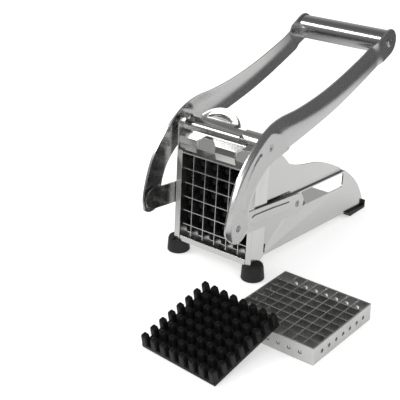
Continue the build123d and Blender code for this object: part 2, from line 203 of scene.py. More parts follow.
# Lower comb of the spare set: the same strip painted darker, as painted shade on faces that turn from the
# light
shadedBladeSteel = metalSheet("bladeStripPaintedShade", evenGrain | {
    "lines": 900.0, "clouds": 110.0,
    "roughness": (0.26, 0.42), "dark": "#7c7c7a", "light": "#bcbcba", "bump": 0.15, "wearAndSheen": 0.0,
})
# Polished tube: near mirror, one sharp highlight along it
tubeSteel = metalSheet("polishedStainlessTube", {
    "turn": (0, 0, 0), "stretch": (0.06, 1.0, 1.0), "lines": 1200.0, "clouds": 10.0,
    "roughness": (0.11, 0.18), "dark": "#b2b2b2", "light": "#c2c2c2", "bump": 0.05, "wearAndSheen": 0.2,
})
# Turned fasteners: a little darker and duller than the sheet
turnedSteel = metalSheet("turnedSteel", evenGrain | {
    "lines": 900.0, "clouds": 40.0,
    "roughness": (0.22, 0.4), "dark": "#8f8f8f", "light": "#b0b0b0", "bump": 0.2, "wearAndSheen": 0.5,
})
# Ground blade strip: pale and slightly dull, so that the strips read as light lines over dark cells
bladeSteel = metalSheet("groundBladeStrip", {
    "turn": (0, 0, 0), "stretch": (1.0, 1.0, 0.1), "lines": 1400.0, "clouds": 25.0,
    "roughness": (0.2, 0.34), "dark": "#c6c6c5", "light": "#e8e8e7", "bump": 0.15, "wearAndSheen": 0.0,
})
# Nitrile rubber: matt, faintly dusty
rubber = mouldedBlack("nitrileRubber", {
    "grain": 2500.0, "dust": 90.0, "dark": "#0c0c0c", "light": "#1c1c1c", "bump": 0.3,
    "roughness": (0.5, 0.7), "wearAndSheen": 0.3, "shine": 0.5,
})
# Injection-moulded ABS: black with a soft sheen on its rounded tips, partly a painted highlight that greys
# the tips
blackPlastic = mouldedBlack("mouldedBlackAbs", {
    "grain": 1800.0, "dust": 60.0, "dark": "#050505", "light": "#0a0a0a", "bump": 0.2,
    "roughness": (0.3, 0.42), "wearAndSheen": 0.2, "shine": 0.16,
})

finishes = {
    "body_steel": bodySteel, "arm_steel": armSteel, "grip_chrome": tubeSteel, "fastener_steel": turnedSteel,
    "blade_steel": bladeSteel, "rubber_black": rubber, "plastic_black": blackPlastic,
}
for name, slotName in slotOfNode.items():
    for materialSlot in nodes[name].material_slots:
        materialSlot.material = finishes[slotName]
print("materials on the CAD nodes")

# Meshes


def meshObject(name, work):  # a bmesh made into an object at the origin
    mesh = bpy.data.meshes.new(name)
    work.to_mesh(mesh)
    work.free()
    made = bpy.data.objects.new(name, mesh)
    bpy.context.scene.collection.objects.link(made)
    return made


def finishPiece(piece, nodeName):  # same finish and body as the CAD node that it stands for
    piece.data.materials.clear()
    piece.data.materials.append(finishes[slotOfNode[nodeName]])
    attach(piece, bodyOfNode[nodeName])
    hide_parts(nodeName)


def shadeByAngle(piece, degrees):  # smooth, apart from edges that turn by more than this
    piece.data.polygons.foreach_set("use_smooth", [True] * len(piece.data.polygons))
    piece.data.set_sharp_from_angle(angle=math.radians(degrees))


def addBevel(piece, look):
    bevel = piece.modifiers.new("softEdges", "BEVEL")
    bevel.width = mm(look["width"])
    bevel.segments = look["segments"]
    bevel.limit_method = "ANGLE"
    bevel.angle_limit = math.radians(look["angle"])
    bevel.use_clamp_overlap = True
    bevel.harden_normals = True


joining = {"apart": 0.004, "flat": 0.6}  # mm between points that are one, degrees between faces that are one


def refined(nodeName, look, bend=None):  # the CAD node's own solid, its triangles joined and its edges broken
    work = bmesh.new()
    work.from_mesh(nodes[nodeName].data)
    bmesh.ops.remove_doubles(work, verts=work.verts, dist=mm(joining["apart"]))
    bmesh.ops.dissolve_limit(
        work, angle_limit=math.radians(joining["flat"]), verts=work.verts, edges=work.edges,
    )
    if bend:
        bend(work)
    piece = meshObject(nodeName + "_refined", work)
    shadeByAngle(piece, look["angle"])
    addBevel(piece, look)
    finishPiece(piece, nodeName)


sheetEdges = {"width": 0.22, "segments": 2, "angle": 28}
mouldedEdges = {"width": 0.5, "segments": 3, "angle": 30}
asInTheCad = [
    (sheetEdges, [
        "side_plate_right", "side_plate_left", "chamber_floor", "front_sill", "front_bridge",
        "cassette_frame", "carriage", "grip_tube", "grip_plugs",
    ]),
    (mouldedEdges, ["rear_foot_right", "rear_foot_left", "front_foot_right", "front_foot_left"]),
]
for look, names in asInTheCad:
    for name in names:
        refined(name, look)
print("sheet, grip and feet refined")

# Lock plate: its tab leans back further and is a little lower, with a pressed lens behind its slot

tabLook = {
    "foot": (-11.3, 9.2, 123.4), "slope": 65, "lean": -17.0, "height": 0.93, "base": 1.2, "face": 0.2,
    "lens": {
        "across": 13.6, "low": 3.7, "high": 10.2, "round": 0.75, "narrowest": 0.05,
        "deep": 1.0, "crown": 0.8, "wall": 1.2, "wallFrom": 0.75, "sheet": 0.6,
        "columns": 36, "rows": 14, "shade": 12,
    },
}
tabTurn = Matrix.Rotation(math.radians(tabLook["slope"]), 4, "X")
tabPlace = machineTurn @ Matrix.Translation(tabLook["foot"]) @ tabTurn
tabLean = Matrix.Rotation(math.radians(tabLook["lean"]), 4, "X")


def leanBack(work):
    toTab = tabPlace.inverted()
    for vert in work.verts:
        place = toTab @ vert.co
        if place.y > tabLook["base"] and place.z < tabLook["face"]:
            place.y *= tabLook["height"]
            vert.co = tabPlace @ tabLean @ place


def tabLens(look):  # in the tab's own plane: x across it, y up it, z out of its face
    work = bmesh.new()
    layers = []
    for drop in (0.0, look["sheet"]):
        grid = []
        for column in range(look["columns"] + 1):
            x = look["across"] * math.sin(math.pi * (column / look["columns"] - 0.5))
            arch = max(look["narrowest"], 1 - (x / look["across"]) ** 2) ** look["round"]
            tall = (look["high"] - look["low"]) * arch
            line = []
            for row in range(look["rows"] + 1):
                off = abs(2 * row / look["rows"] - 1)
                z = -look["deep"] - look["crown"] * off * arch
                z += look["wall"] * smooth(look["wallFrom"], 1.0, off) - drop
                line.append(work.verts.new((x, look["low"] + tall * row / look["rows"], z)))
            grid.append(line)
        layers.append(grid)
    for layer in layers:
        for one, two in zip(layer, layer[1:]):
            for row in range(look["rows"]):
                work.faces.new((one[row], two[row], two[row + 1], one[row + 1]))
    rims = []
    for grid in layers:
        bottom, top = [column[0] for column in grid], [column[-1] for column in grid]
        rims.append(bottom + grid[-1][1:] + top[::-1][1:] + grid[0][::-1][1:-1])
    for step in range(len(rims[0])):
        after = (step + 1) % len(rims[0])
        work.faces.new((rims[0][step], rims[0][after], rims[1][after], rims[1][step]))
    bmesh.ops.recalc_face_normals(work, faces=work.faces)
    lens = meshObject("lock_tab_lens", work)
    lens.data.transform(tabPlace @ tabLean @ Matrix.Diagonal((1.0, tabLook["height"], 1.0, 1.0)))
    shadeByAngle(lens, look["shade"])
    lens.data.materials.append(bodySteel)
    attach(lens, "lock_body")


refined("lock_plate", sheetEdges, leanBack)
tabLens(tabLook["lens"])
print("lock plate bent")

# Arms and links: pressed sheet, built as rows of points between a top line and a bottom line


def chordStops(points):  # how far along the line each of its points lies
    stops = [0.0]
    for one, two in zip(points, points[1:]):
        stops.append(stops[-1] + math.dist(one, two))
    return stops


def splineThrough(points, startWay=None, endWay=None):  # cubic curve through points, by chord length
    count, stops = len(points), chordStops(points)
    slopes = []
    for number in range(count):
        before, after = max(number - 1, 0), min(number + 1, count - 1)
        span = stops[after] - stops[before]
        slopes.append(tuple((b - a) / span for a, b in zip(points[before], points[after])))
    if startWay:
        slopes[0] = startWay
    if endWay:
        slopes[-1] = endWay

    def at(share):
        along = share * stops[-1]
        piece = max(n for n in range(count - 1) if stops[n] <= along + 1e-9)
        span = stops[piece + 1] - stops[piece]
        t = (along - stops[piece]) / span
        weights = (
            2 * t**3 - 3 * t**2 + 1, (t**3 - 2 * t**2 + t) * span,
            3 * t**2 - 2 * t**3, (t**3 - t**2) * span,
        )
        return tuple(
            weights[0] * p + weights[1] * m + weights[2] * q + weights[3] * n
            for p, m, q, n in zip(points[piece], slopes[piece], points[piece + 1], slopes[piece + 1])
        )
    return at


def arcPoints(centre, radius, start, end, steps):  # angles in degrees
    angles = [math.radians(start + (end - start) * step / steps) for step in range(steps + 1)]
    return [(centre[0] + radius * math.cos(angle), centre[1] + radius * math.sin(angle)) for angle in angles]


def evenly(points, count):  # the same line with its points at even spacing
    stops = chordStops(points)
    result, piece = [], 0
    for number in range(count):
        along = stops[-1] * number / (count - 1)
        while piece < len(points) - 2 and stops[piece + 1] < along:
            piece += 1
        t = (along - stops[piece]) / (stops[piece + 1] - stops[piece])
        result.append(tuple(a + (b - a) * t for a, b in zip(points[piece], points[piece + 1])))
    return result


def insideBy(point, outline):  # how far a point lies inside a closed outline, negative outside
    inside, nearest = False, math.inf
    for (ax, ay), (bx, by) in zip(outline, outline[1:] + outline[:1]):
        if (ay > point[1]) != (by > point[1]) and point[0] < (bx - ax) * (point[1] - ay) / (by - ay) + ax:
            inside = not inside
        length = (bx - ax) ** 2 + (by - ay) ** 2
        t = min(1.0, max(0.0, ((point[0] - ax) * (bx - ax) + (point[1] - ay) * (by - ay)) / length))
        nearest = min(nearest, math.dist(point, (ax + (bx - ax) * t, ay + (by - ay) * t)))
    return nearest if inside else -nearest


armLook = {
    "stations": 230, "lobe": 13.0, "disc": 12.5, "edge": 0.28,
    "topCurve": [  # the lobe is round the crank and the disc round the grip; the curves join them, as (y, z)
        (-46, crank[1]), (-43.5, 74), (-36.5, 94), (-24, 111.5), (-10, 124.8), (4, 133.8), (20, 138.7),
        (42, 140.9), (64, 144.5), (86, 149.6), (108, 156.3), (130, 164.2), (152, 173.2), (178.75, 188.3),
    ],
    "bottomCurve": [
        (-21.2, 63.3), (-19.8, 71), (-15, 82.5), (-6, 93.5), (8, 103.6), (24, 108), (46, 113.4), (76, 121.4),
        (106, 130.6), (137, 142.5), (165, 154.5), (190.22, 165.94),
    ],
    "curveSteps": 240, "arcSteps": 24, "endSlope": 29.6,
    "lobeArcs": ((262, 180), (262, 385)), "discArcs": ((119.6, 29), (-65.4, 25)),  # degrees, top and bottom
    "holes": [(pivot, 3.08), (crank, 2.95), (grip, 2.2)],
}


def armLines():  # matching stations on its top and bottom edges, from the lobe's tip to the disc's tip
    look, slope = armLook, math.radians(armLook["endSlope"])
    top = splineThrough(look["topCurve"], startWay=(0.0, 1.0), endWay=(math.cos(slope), math.sin(slope)))
    lines = []
    for curve, lobeArc, discArc in zip(
        (top, splineThrough(look["bottomCurve"])), look["lobeArcs"], look["discArcs"],
    ):
        line = arcPoints(crank, look["lobe"], *lobeArc, look["arcSteps"])
        line += [curve(n / look["curveSteps"]) for n in range(1, look["curveSteps"] + 1)]
        line += arcPoints(grip, look["disc"], *discArc, look["arcSteps"])[1:]
        lines.append(evenly(line, look["stations"]))
    return lines


crescentRib = {"rise": 0.78, "edge": 1.3, "before": 0.0, "outline": [  # pressed outwards, only before that y
    (-10, 115.8), (-15.5, 110.4), (-20, 104.5), (-24.3, 97.5), (-27.5, 90), (-28.8, 80.5), (-29, 71),
    (-27.2, 69.2), (-25.6, 70.4), (-21.5, 81.2), (-16.5, 90.6), (-11, 99.5), (-6.2, 110.5), (-6.6, 114.8),
]}
foldLook = {
    "rows": 26, "widest": 24.0,
    "bevel": (3.0, 3.0), "upperFacet": (3.2, 12.0), "lowerFacet": (2.2, 9.5),  # inward, and along the face
    "bevelFrom": (12.0, 24.0), "facetsFrom": (15.0, 24.0), "facetsTo": (163.0, 173.0),  # by width, then by y
    "bevelRound": 0.5, "ridgeRound": 2.0, "straightPast": 30,
}


def foldedBack(over, blend):  # how far a point lies past a rounded fold
    share = over / blend
    return blend * (math.log1p(math.exp(share)) if share < foldLook["straightPast"] else share)


def armSection(place, width):  # (x of the outer face, distance from the top edge), from the bottom edge up
    look = foldLook
    rear = smooth(*look["facetsFrom"], place)
    flat = 1 - smooth(*look["facetsTo"], place)
    fit = min(1.0, width / look["widest"])
    bevel = look["bevel"][0] * smooth(*look["bevelFrom"], width)
    inward = (bevel + (look["upperFacet"][0] - bevel) * rear) * flat
    down = (look["bevel"][1] + (look["upperFacet"][1] - look["bevel"][1]) * rear) * fit
    lowIn, lowUp = look["lowerFacet"][0] * rear * flat, look["lowerFacet"][1] * fit
    blend = (look["bevelRound"] + (look["ridgeRound"] - look["bevelRound"]) * rear) * fit
    section = []
    for row in [width * (1 - n / look["rows"]) for n in range(look["rows"] + 1)]:
        x = armOut - inward * foldedBack(down - row, blend) / down
        x -= lowIn * foldedBack(lowUp - (width - row), blend) / lowUp
        section.append((x, row))
    return section


pressLook = {
    "narrowest": 0.4, "apart": 0.01, "drilled": (40, 52), "holeSides": 40, "shade": 32, "bevelled": 50,
}


def pressedSheet(name, side, lines, sectionAt, rib):  # rows between two edge lines, with a raised rib
    work = bmesh.new()
    loops = []
    for (ty, tz), (by, bz) in zip(*lines):
        width = max(math.dist((ty, tz), (by, bz)), pressLook["narrowest"])
        way = ((by - ty) / width, (bz - tz) / width)
        outer, inner = [], []
        for x, row in sectionAt((ty + by) / 2, width):
            y, z = ty + way[0] * row, tz + way[1] * row
            inner.append((side * (x - sheet), y, z))
            if y < rib["before"]:
                x += rib["rise"] * smooth(0.0, rib["edge"], insideBy((y, z), rib["outline"]))
            outer.append((side * x, y, z))
        loops.append([work.verts.new(point) for point in outer + inner[::-1]])
    for one, two in zip(loops, loops[1:]):
        for number in range(len(one)):
            after = (number + 1) % len(one)
            work.faces.new((one[number], one[after], two[after], two[number]))
    work.faces.new(loops[0])
    work.faces.new(loops[-1][::-1])
    bmesh.ops.remove_doubles(work, verts=work.verts, dist=pressLook["apart"])
    bmesh.ops.recalc_face_normals(work, faces=work.faces)
    bmesh.ops.transform(work, matrix=machineTurn, verts=work.verts)
    return meshObject(name, work)


def cutBy(piece, tool):  # the piece with the tool's shape taken out of it, as a plain mesh
    cut = piece.modifiers.new("cut", "BOOLEAN")
    cut.operation, cut.solver, cut.object = "DIFFERENCE", "EXACT", tool
    bpy.context.view_layer.update()
    mesh = bpy.data.meshes.new_from_object(piece.evaluated_get(bpy.context.evaluated_depsgraph_get()))
    piece.modifiers.remove(cut)
    piece.data = mesh
    bpy.data.objects.remove(tool)


def drill(piece, places, span):  # round holes along x: (y, z), radius
    for (y, z), radius in places:
        work = bmesh.new()
        turn = Matrix.Translation((sum(span) / 2, y, z)) @ Matrix.Rotation(math.pi / 2, 4, "Y")
        bmesh.ops.create_cone(
            work, cap_ends=True, segments=pressLook["holeSides"], radius1=radius, radius2=radius,
            depth=span[1] - span[0], matrix=machineTurn @ turn,
        )
        cutBy(piece, meshObject("drillBit", work))


def addPressed(nodeName, side, lines, sectionAt, rib, look):
    piece = pressedSheet(nodeName + "_pressed", side, lines, sectionAt, rib)
    drill(piece, look["holes"], sorted(side * x for x in pressLook["drilled"]))
    shadeByAngle(piece, pressLook["shade"])
    addBevel(piece, {"width": look["edge"], "segments": 2, "angle": pressLook["bevelled"]})
    finishPiece(piece, nodeName)


armEdges = armLines()
addPressed("arm_right", 1, armEdges, armSection, crescentRib, armLook)
addPressed("arm_left", -1, armEdges, armSection, crescentRib, armLook)
print("arms pressed")

# Links: straps with a rib that starts round and ends on a slant

linkLook = {
    "radius": 9.5, "stations": 120, "rows": 22, "edge": 0.3, "arcSteps": 20,
    "arcs": ((178, 90), (90, 2)),  # degrees, round the crank and round the pin
    "holes": [(crank, 3.08), (pin, 2.98)],
    "rib": [
        (19.5, 0.8), (20.6, 4.0), (24.5, 6.0), (50, 6.4), (76, 6.0), (80.5, 3.5), (79, -1.0), (74.5, -4.2),
        (40, -4.6), (25, -4.4), (20.8, -2.2),
    ],
}
linkLength = math.dist(crank, pin)
linkWay = ((pin[0] - crank[0]) / linkLength, (pin[1] - crank[1]) / linkLength)


def onLink(points):  # from along and across the strap to (y, z)
    ay, az = linkWay
    return [(crank[0] + u * ay - v * az, crank[1] + u * az + v * ay) for u, v in points]


def linkLines():
    look = linkLook
    atCrank = arcPoints((0, 0), look["radius"], *look["arcs"][0], look["arcSteps"])
    edge = atCrank + arcPoints((linkLength, 0), look["radius"], *look["arcs"][1], look["arcSteps"])
    return [onLink(evenly([(u, v * way) for u, v in edge], look["stations"])) for way in (1, -1)]


def linkSection(_, width):  # flat, wherever along the strap
    rows = linkLook["rows"]
    return [(linkOut, width * (1 - n / rows)) for n in range(rows + 1)]


linkEdges = linkLines()
linkRib = {"rise": 0.78, "edge": 1.7, "before": 200.0, "outline": onLink(linkLook["rib"])}
addPressed("link_right", 1, linkEdges, linkSection, linkRib, linkLook)
addPressed("link_left", -1, linkEdges, linkSection, linkRib, linkLook)
print("links pressed")

# Repeated pieces, placed by Geometry Nodes


def newTree(name, inputs):  # an empty node group with named inputs after its geometry
    tree = bpy.data.node_groups.new(name, "GeometryNodeTree")
    tree.interface.new_socket("Geometry", in_out="INPUT", socket_type="NodeSocketGeometry")
    for label, kind in inputs:
        tree.interface.new_socket(label, in_out="INPUT", socket_type=kind)
    tree.interface.new_socket("Geometry", in_out="OUTPUT", socket_type="NodeSocketGeometry")
    return tree, addNode(tree, "NodeGroupInput").outputs


def closeTree(tree, instances, finish):  # every tree ends in real meshes with their material
    real = addNode(tree, "GeometryNodeRealizeInstances", {0: instances})
    painted = addNode(tree, "GeometryNodeSetMaterial", {"Geometry": real.outputs[0], "Material": finish})
    addNode(tree, "NodeGroupOutput", {0: painted.outputs[0]})


def gridTree():  # one shape copied in rows and columns from its first place
    tree, given = newTree("gridOfCopies", [
        ("Shape", "NodeSocketObject"), ("Across", "NodeSocketInt"), ("Along", "NodeSocketInt"),
        ("Pitch", "NodeSocketFloat"), ("Finish", "NodeSocketMaterial"),
    ])
    shape = addNode(tree, "GeometryNodeObjectInfo", {"Object": given["Shape"]}).outputs["Geometry"]
    for count, axis in (("Across", "X"), ("Along", "Y")):
        step = addNode(tree, "ShaderNodeCombineXYZ", {axis: given["Pitch"]})
        line = addNode(tree, "GeometryNodeMeshLine", {
            "Count": given[count], "Offset": step.outputs[0],
        }, mode="OFFSET")
        shape = addNode(tree, "GeometryNodeInstanceOnPoints", {
            "Points": line.outputs[0], "Instance": shape,
        }).outputs[0]
    closeTree(tree, shape, given["Finish"])
    return tree


def spotTree():  # one shape copied to each point of the base mesh, its z turned that point's own way
    tree, given = newTree("copiesAtSpots", [("Shape", "NodeSocketObject"), ("Finish", "NodeSocketMaterial")])
    shape = addNode(tree, "GeometryNodeObjectInfo", {"Object": given["Shape"]}).outputs["Geometry"]
    facing = addNode(tree, "GeometryNodeInputNamedAttribute", {"Name": "facing"}, data_type="FLOAT_VECTOR")
    turn = addNode(tree, "FunctionNodeAlignRotationToVector", {"Vector": facing.outputs[0]}, axis="Z")
    copies = addNode(tree, "GeometryNodeInstanceOnPoints", {
        "Points": given["Geometry"], "Instance": shape, "Rotation": turn.outputs[0],
    })
    closeTree(tree, copies.outputs[0], given["Finish"])
    return tree


gridOfCopies, copiesAtSpots = gridTree(), spotTree()


def grow(base, tree, values, place):  # the tree's result becomes a plain mesh on the base object
    modifier = base.modifiers.new("copies", "NODES")
    modifier.node_group = tree
    for item in tree.interface.items_tree:
        if item.in_out == "INPUT" and item.name in values:
            modifier[item.identifier] = values[item.name]
    bpy.context.view_layer.update()
    mesh = bpy.data.meshes.new_from_object(base.evaluated_get(bpy.context.evaluated_depsgraph_get()))
    base.modifiers.remove(modifier)
    base.data = mesh
    mesh.transform(place)


def inGrid(name, nodeName, shape, look, place):
    base = meshObject(name, bmesh.new())
    grow(base, gridOfCopies, {
        "Shape": shape, "Across": look["across"], "Along": look["along"], "Pitch": look["pitch"],
        "Finish": finishes[slotOfNode[nodeName]],
    }, place)
    bpy.data.objects.remove(shape)
    return base


def atSpots(name, nodeName, shape, spots, place):  # spots: (point, direction) in mm
    base = meshObject(name, bmesh.new())
    base.data.from_pydata([point for point, way in spots], [], [])
    facing = base.data.attributes.new("facing", "FLOAT_VECTOR", "POINT")
    facing.data.foreach_set("vector", [value for point, way in spots for value in way])
    grow(base, copiesAtSpots, {"Shape": shape, "Finish": finishes[slotOfNode[nodeName]]}, place)
    bpy.data.objects.remove(shape)
    return base


def joined(name, pieces):  # several meshes as one object
    work = bmesh.new()
    for piece in pieces:
        work.from_mesh(piece.data)
        bpy.data.objects.remove(piece)
    return meshObject(name, work)


def turnedShape(name, profile, steps, hollow):  # profile: (radius, height), a closed loop where it is hollow
    work = bmesh.new()
    rings = []
    for radius, height in profile:
        if radius < 1e-6:
            rings.append([work.verts.new((0, 0, height))])
            continue
        turns = [2 * math.pi * step / steps for step in range(steps)]
        rings.append([work.verts.new((radius * math.cos(t), radius * math.sin(t), height)) for t in turns])
    for one, two in zip(rings, rings[1:]):
        for step in range(steps):
            after = (step + 1) % steps
            if len(two) == 1:
                work.faces.new((one[step], one[after], two[0]))
            elif len(one) == 1:
                work.faces.new((one[0], two[after], two[step]))
            else:
                work.faces.new((one[step], one[after], two[after], two[step]))
    if hollow:
        for step in range(steps):
            after = (step + 1) % steps
            work.faces.new((rings[-1][step], rings[-1][after], rings[0][after], rings[0][step]))
    for ends, flip in ((rings[0], True), (rings[-1], False)):
        if len(ends) > 1 and not hollow:
            work.faces.new(ends[::-1] if flip else ends)
    bmesh.ops.recalc_face_normals(work, faces=work.faces)
    return meshObject(name, work)


def boxShape(name, low, high):  # between two corners
    work = bmesh.new()
    bmesh.ops.create_cube(work, size=1.0)
    for vert in work.verts:
        vert.co = [a + (b - a) * (c + 0.5) for a, b, c in zip(low, high, vert.co)]
    return meshObject(name, work)


# Pushers: tapered fingers with arched tips on a moulded plate

# Shares: the flat of each side, the lowest rings' heights, and where the last ring lies on the arch
fingerLook = {"corner": 0.72, "foot": [-0.03, 0.02], "archRings": 5, "lastRing": 0.93}
plateLook = {"edge": 0.4, "shade": 40}


def finger(look):  # rounded square, flat on two sides and arched on the other two
    half, shape = look["width"] / 2, fingerLook
    work = bmesh.new()
    rings = []
    archShares = [step / shape["archRings"] for step in range(shape["archRings"])] + [shape["lastRing"]]
    heights = [
        look["archFrom"] + (1 - look["archFrom"]) * math.sin(math.pi / 2 * share) for share in archShares
    ]
    for height in shape["foot"] + heights:
        over = max(0.0, (height - look["archFrom"]) / (1 - look["archFrom"]))
        arch = (1 - over ** 2) ** 0.5
        taper = 1 - look["taper"] * max(height, 0.0)
        wide, deep = half * taper * arch, half * taper * max(look["slim"], arch)
        ring = []
        for sx, sy in ((1, -1), (1, 1), (-1, 1), (-1, -1)):
            ends = [(sx * wide, sy * deep * shape["corner"]), (sx * wide * shape["corner"], sy * deep)]
            ring += ends if sx * sy > 0 else ends[::-1]
        rings.append([work.verts.new((x, y, height * look["length"])) for x, y in ring])
    for one, two in zip(rings, rings[1:]):
        for step in range(len(one)):
            after = (step + 1) % len(one)
            work.faces.new((one[step], one[after], two[after], two[step]))
    work.faces.new(rings[0][::-1])
    work.faces.new(rings[-1])
    bmesh.ops.recalc_face_normals(work, faces=work.faces)
    return meshObject("fingerShape", work)


def mouldedPlate(name, outline, low):  # flat plate from an outline in (x, y), its top at 0, its edges broken
    work = bmesh.new()
    face = work.faces.new([work.verts.new((x, y, low)) for x, y in outline])
    for raised in bmesh.ops.extrude_face_region(work, geom=[face])["geom"]:
        if isinstance(raised, bmesh.types.BMVert):
            raised.co.z = 0.0
    bmesh.ops.recalc_face_normals(work, faces=work.faces)
    bmesh.ops.bevel(
        work, geom=work.edges[:], offset=plateLook["edge"], segments=2, profile=0.5, affect="EDGES",
    )
    return meshObject(name, work)


def addPusher(name, nodeName, look, place):
    count, pitch = look["count"], look["pitch"]
    start = -pitch * (count - 1) / 2
    grid = {"across": count, "along": count, "pitch": pitch}
    toFirst = place @ Matrix.Translation((start, start, 0.0))
    fingers = inGrid(name + "_fingers", nodeName, finger(look["finger"]), grid, toFirst)
    base = mouldedPlate(name + "_plate", look["outline"], -look["thick"])
    base.data.transform(place)
    pusher = joined(name, [base, fingers])
    shadeByAngle(pusher, plateLook["shade"])
    finishPiece(pusher, nodeName)


# Fitted: its finger tips face the blades, and its plate has room for both pressed grooves
fittedPusher = {
    "finger": {"width": 7.6, "length": 11.0, "archFrom": 0.72, "taper": 0.12, "slim": 0.6},
    "count": 6, "pitch": 13.0, "thick": 3.5, "middle": (0, 13.0, 54.0),
    "outline": [
        (-37.5, -36.4), (37.5, -36.4), (37.5, 5.3), (36.2, 5.3), (36.2, 14.1), (37.5, 14.1), (37.5, 37.0),
        (-37.5, 37.0), (-37.5, 14.1), (-36.2, 14.1), (-36.2, 5.3), (-37.5, 5.3),
    ],
}
upright = Matrix.Rotation(math.pi / 2, 4, "X")
addPusher(
    "pusher_36_moulded", "pusher_36", fittedPusher,
    machineTurn @ Matrix.Translation(fittedPusher["middle"]) @ upright,
)
# Spare: it lies face up and leans on the corner of the spare set
sparePusher = {
    "finger": {"width": 5.6, "length": 9.9, "archFrom": 0.74, "taper": 0.16, "slim": 0.6},
    "count": 8, "pitch": 9.75, "thick": 3.2, "middle": (-37, 37, 3.2),  # from its near corner
    "outline": [(-37, -37), (37, -37), (37, 37), (-37, 37)],
    "nearCorner": (113.6, -140.6, 0), "turn": -3.5, "lean": 13.4,
}
leaning = toOrigin @ Matrix.Translation(sparePusher["nearCorner"])
leaning = leaning @ Matrix.Rotation(math.radians(sparePusher["turn"]), 4, "Z")
leaning = leaning @ Matrix.Rotation(math.radians(sparePusher["lean"]), 4, "X")
addPusher(
    "spare_pusher_moulded", "spare_pusher", sparePusher, leaning @ Matrix.Translation(sparePusher["middle"]),
)
print("pushers moulded")

# Blades: strips with a ground edge, notched half through where they cross

bladeLook = {
    "thick": 0.6, "height": 11.5, "length": 81.6, "tabReach": 1.0, "shade": 20,
    "notch": 0.35, "ground": 0.26, "slant": 0.19,  # half a notch's width; height and depth ground off
}


def bladeStrip(comb, places, notchUp):  # along x, its thickness along y, notched from above or from below
    look, tab = bladeLook, comb["tab"] / 2
    top, half, notch = look["height"] / 2, look["thick"] / 2, look["notch"]
    low = -top - comb["deeper"]
    end = look["length"] / 2
    side = end - look["tabReach"]
    line = [(-side, low), (-side, -tab), (-end, -tab), (-end, tab), (-side, tab), (-side, top)]
    upper, lower = [], []
    for place in places:
        cut = [(place - notch, 1), (place - notch, 0), (place + notch, 0), (place + notch, 1)]
        upper += [(x, top if high else 0.0) for x, high in cut] if notchUp else []
        lower += [(x, low if high else 0.0) for x, high in cut[::-1]] if not notchUp else []
    right = [(-x, z) for x, z in line[::-1]]
    outline = line + upper + right + lower[::-1]
    work = bmesh.new()
    faces = []
    for y in (-half, half):
        faces.append(work.faces.new([work.verts.new((x, y, z)) for x, z in outline]))
    count = len(outline)
    one, two = list(faces[0].verts), list(faces[1].verts)
    for step in range(count):
        after = (step + 1) % count
        work.faces.new((one[step], one[after], two[after], two[step]))
    work.normal_update()
    bmesh.ops.triangulate(work, faces=faces)
    way = 1 if comb["groundUp"] else -1
    bmesh.ops.bisect_plane(
        work, geom=work.verts[:] + work.edges[:] + work.faces[:],
        plane_co=(0, 0, way * (top - look["ground"])), plane_no=(0, 0, 1),
    )
    for vert in work.verts:
        if vert.co.z * way > top - look["ground"] / 2 and vert.co.y < 0:
            vert.co.y += look["slant"]
    bmesh.ops.recalc_face_normals(work, faces=work.faces)
    return meshObject("bladeShape", work)


def addBlades(name, nodeName, comb, along):
    count, pitch = comb["count"], comb["pitch"]
    places = [pitch * (n - (count - 1) / 2) for n in range(count)]
    strip = bladeStrip(comb, places, along)
    strip.data.transform(Matrix() if along else Matrix.Rotation(math.pi / 2, 4, "Z"))
    first = Matrix.Translation((0, places[0], 0) if along else (places[0], 0, 0))
    grid = {"across": 1 if along else count, "along": count if along else 1, "pitch": pitch}
    blades = inGrid(name, nodeName, strip, grid, comb["place"] @ first)
    shadeByAngle(blades, bladeLook["shade"])
    finishPiece(blades, nodeName)
    return blades


fittedComb = {
    "count": 5, "pitch": 13.0, "tab": 8.0, "groundUp": False, "deeper": 0.0,
    "place": machineTurn @ Matrix.Translation((0, 3.35, 54.0)) @ upright,
}
spareComb = {
    "count": 7, "pitch": 9.75, "tab": 2.0, "groundUp": True, "deeper": 1.2,
    "place": toOrigin @ Matrix.Translation((111.9, -34.4, 7.25)),
}
addBlades("blades_horizontal_ground", "blades_horizontal", fittedComb, True)
addBlades("blades_vertical_ground", "blades_vertical", fittedComb, False)
longBlades = addBlades("spare_blades_long_ground", "spare_blades_long", spareComb, True)
# Painted shade: the long strips take a darker copy of the same blade steel
longBlades.data.materials[0] = shadedBladeSteel
addBlades("spare_blades_cross_ground", "spare_blades_cross", spareComb, False)
print("blades ground")

# Spare frame: a thin band with a round hole for each end of a blade

frameLook = {
    "side": 82.0, "depth": 14.5, "wall": 1.2, "corner": 0.5, "over": 1,
    "hole": 1.75, "holeSides": 10, "drill": 3.0,
}


def holeCutters(look):
    work = bmesh.new()
    size = look["hole"]
    bmesh.ops.create_cone(
        work, cap_ends=True, segments=look["holeSides"], radius1=size, radius2=size, depth=look["drill"],
    )
    shape = meshObject("holeShape", work)
    reach = look["side"] / 2 - look["wall"] / 2
    count = spareComb["count"]
    spots = []
    for number in range(count):
        place = spareComb["pitch"] * (number - (count - 1) / 2)
        for sign in (-1, 1):
            spots += [((place, sign * reach, 0), (0, sign, 0)), ((sign * reach, place, 0), (sign, 0, 0))]
    return atSpots("holeCutters", "spare_cassette_frame", shape, spots, Matrix())


